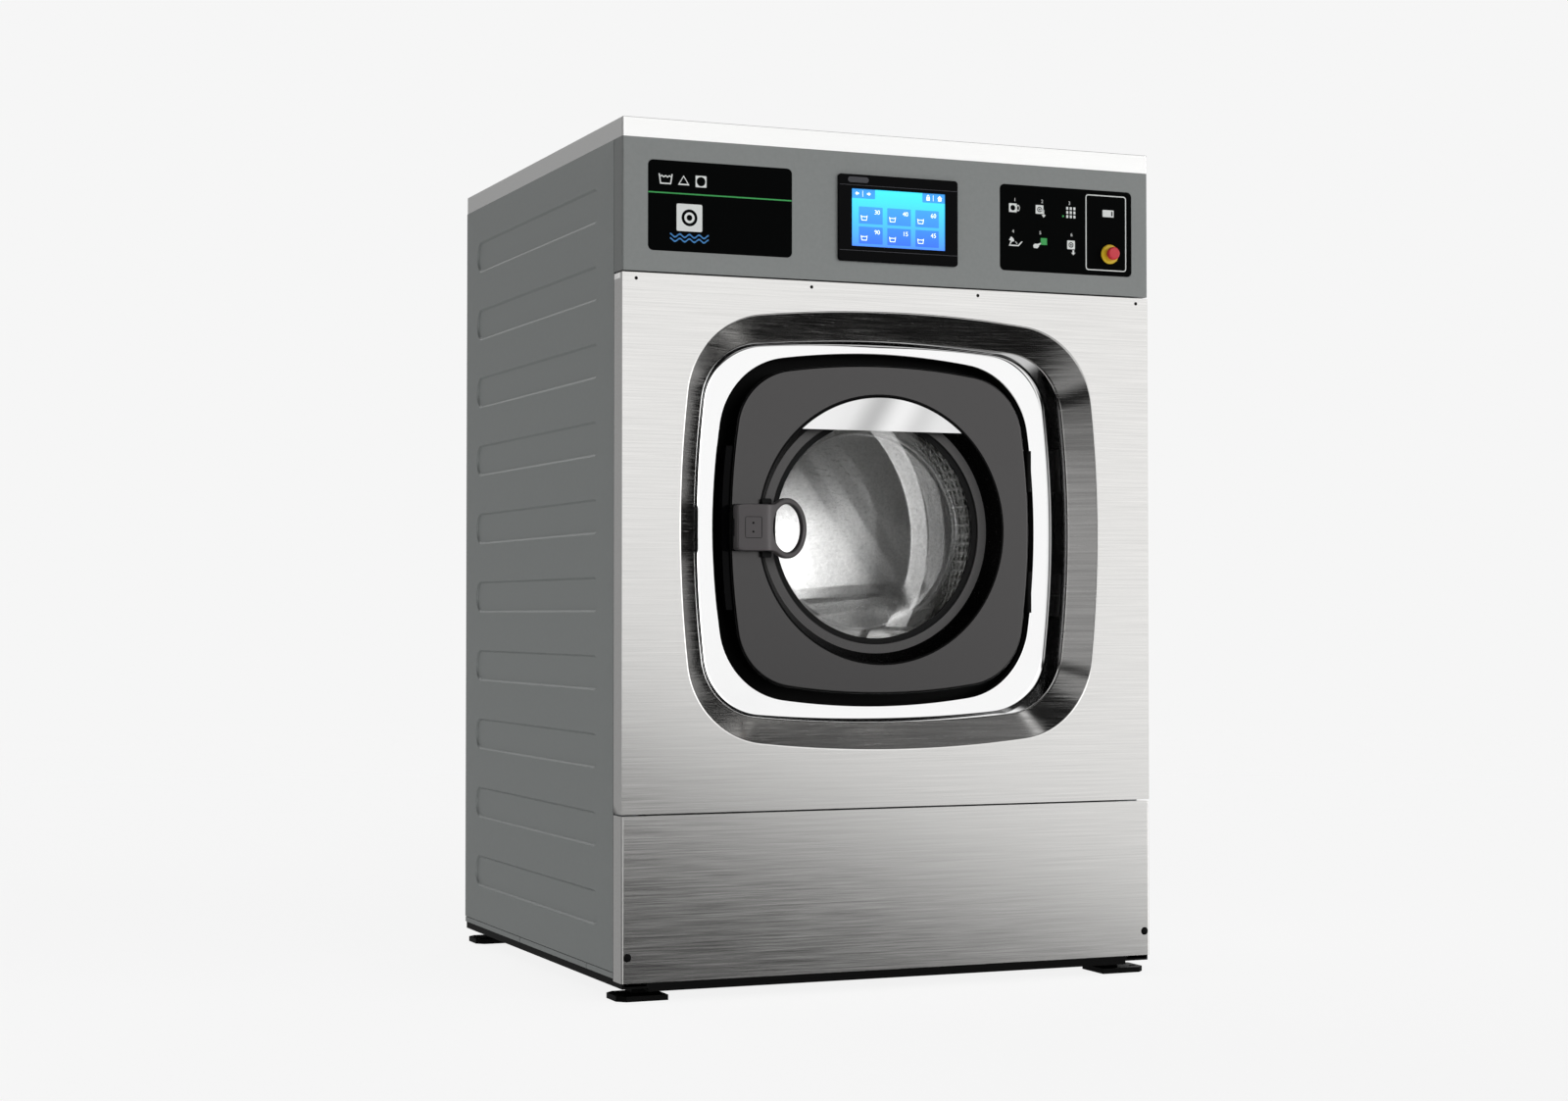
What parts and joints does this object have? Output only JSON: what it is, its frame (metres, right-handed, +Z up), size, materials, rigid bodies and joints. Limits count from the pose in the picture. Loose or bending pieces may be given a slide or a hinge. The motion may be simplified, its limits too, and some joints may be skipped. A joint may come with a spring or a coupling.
{
  "type": "washer-extractor",
  "caption": "Front-loading washer-extractor with a square recessed porthole door, ring handle, touch display, stop button and foot plates.",
  "frame": {"origin": "on the floor, at the centre of the four anchor holes, midway between front and back", "axes": "+X to the right as seen from the front, +Y from the front to the back, +Z up"},
  "size_m": [0.87, 0.8816, 1.2963],
  "materials": {
    "brushed_stainless": "brushed",
    "polished_stainless": "polished",
    "ring_steel": "satin",
    "grey_coat": "satin",
    "dark_grey_coat": "satin",
    "black_coat": "satin",
    "frame_galvanised": "matt",
    "gloss_black_plastic": "gloss",
    "screen_glass": "gloss",
    "clear_glass": "clear",
    "black_rubber": "matt",
    "yellow_plastic": "satin",
    "red_plastic": "satin",
    "dark_grey_plastic": "satin",
    "black_plastic": "matt",
    "grey_plastic": "matt",
    "inner_stainless": "satin",
    "bright_steel": "ground",
    "cast_aluminium": "painted",
    "cast_iron": "painted"
  },
  "bodies": {
    "cabinet": {"lower_panel": "brushed_stainless", "front_panel": "brushed_stainless", "door_surround": "polished_stainless", "control_fascia": "grey_coat", "worktop": "brushed_stainless", "left_side_panel": "grey_coat", "right_side_panel": "grey_coat", "rear_panel": "grey_coat", "base_rails": "black_coat", "foot_plates": "black_coat", "frame_posts": "frame_galvanised", "side_skirts": "grey_coat", "label_plate": "gloss_black_plastic", "display_bezel": "gloss_black_plastic", "display_screen": "screen_glass", "guide_plate": "gloss_black_plastic", "stop_collar": "yellow_plastic", "panel_fasteners": "black_coat", "control_box": "black_plastic", "damper_tubes": "black_coat", "dispenser_box": "grey_plastic", "drain_valve": "black_plastic", "drain_pipe": "grey_plastic", "inlet_valves": "black_plastic", "cable_gland": "black_plastic"},
    "tub": {"tub_shell": "inner_stainless", "tub_front": "black_coat", "tub_back": "inner_stainless", "door_gasket": "black_rubber", "bearing_housing": "cast_iron", "bearings": "bright_steel", "cradle": "black_coat", "counterweight": "cast_iron", "motor_body": "black_coat", "drive_belt": "black_rubber", "damper_rods": "bright_steel", "hinge_bracket": "black_coat", "lock_housing": "black_plastic", "suspension_springs": "bright_steel", "drain_bellows": "black_rubber", "fill_bellows": "black_rubber"},
    "drum": {"drum_shell": "inner_stainless", "drum_back": "inner_stainless", "lifters": "inner_stainless", "drum_shaft": "bright_steel", "drum_pulley": "cast_iron"},
    "motor_rotor": {"motor_pulley": "cast_iron"},
    "door": {"door_plate": "dark_grey_coat", "door_bezel": "gloss_black_plastic", "clamp_ring": "ring_steel", "door_glass": "clear_glass", "glass_gasket": "black_rubber", "door_frame": "cast_aluminium", "crescent_plate": "polished_stainless", "edge_grip": "gloss_black_plastic", "handle_base": "black_coat"},
    "handle": {"handle_lever": "dark_grey_plastic"},
    "stop_plunger": {"stop_stem": "black_plastic"},
    "stop_mushroom": {"stop_head": "red_plastic"},
    "lid": {"dispenser_lid": "brushed_stainless"}
  },
  "joints": [
    {"name": "tub_bounce", "type": "slide", "parent": "cabinet", "child": "tub", "axis": [0, 0, 1], "range_m": [-0.01, 0.008], "stiffness_N_per_m": 60000, "springref_m": 0.048, "deforming": ["suspension_springs", "drain_bellows", "fill_bellows"]},
    {"name": "drum_spin", "type": "hinge", "parent": "tub", "child": "drum", "pos_m": [0, 0, 0.6865], "axis": [0, 1, 0], "continuous": true},
    {"name": "motor_spin", "type": "hinge", "parent": "tub", "child": "motor_rotor", "pos_m": [0.15, 0.283, 0.2045], "axis": [0, 1, 0], "continuous": true},
    {"name": "door_swing", "type": "hinge", "parent": "tub", "child": "door", "pos_m": [0.2535, -0.352, 0.6865], "axis": [0, 0, 1], "range_deg": [0, 120]},
    {"name": "handle_pull", "type": "hinge", "parent": "door", "child": "handle", "pos_m": [-0.2425, -0.3775, 0.6865], "axis": [0, 0, -1], "range_deg": [0, 18], "stiffness_Nm_per_rad": 4},
    {"name": "stop_press", "type": "slide", "parent": "cabinet", "child": "stop_plunger", "axis": [0, 1, 0], "range_m": [0, 0.004], "stiffness_N_per_m": 200},
    {"name": "stop_twist", "type": "hinge", "parent": "stop_plunger", "child": "stop_mushroom", "pos_m": [0.3672, -0.418, 1.119], "axis": [0, 1, 0], "range_deg": [0, 30], "stiffness_Nm_per_rad": 0.004},
    {"name": "lid_swing", "type": "hinge", "parent": "cabinet", "child": "lid", "pos_m": [-0.215, -0.016, 1.286], "axis": [-1, 0, 0], "range_deg": [0, 100]}
  ],
  "couplings": [
    {"joint": "motor_spin", "follows": "drum_spin", "ratio": 3.3333}
  ]
}
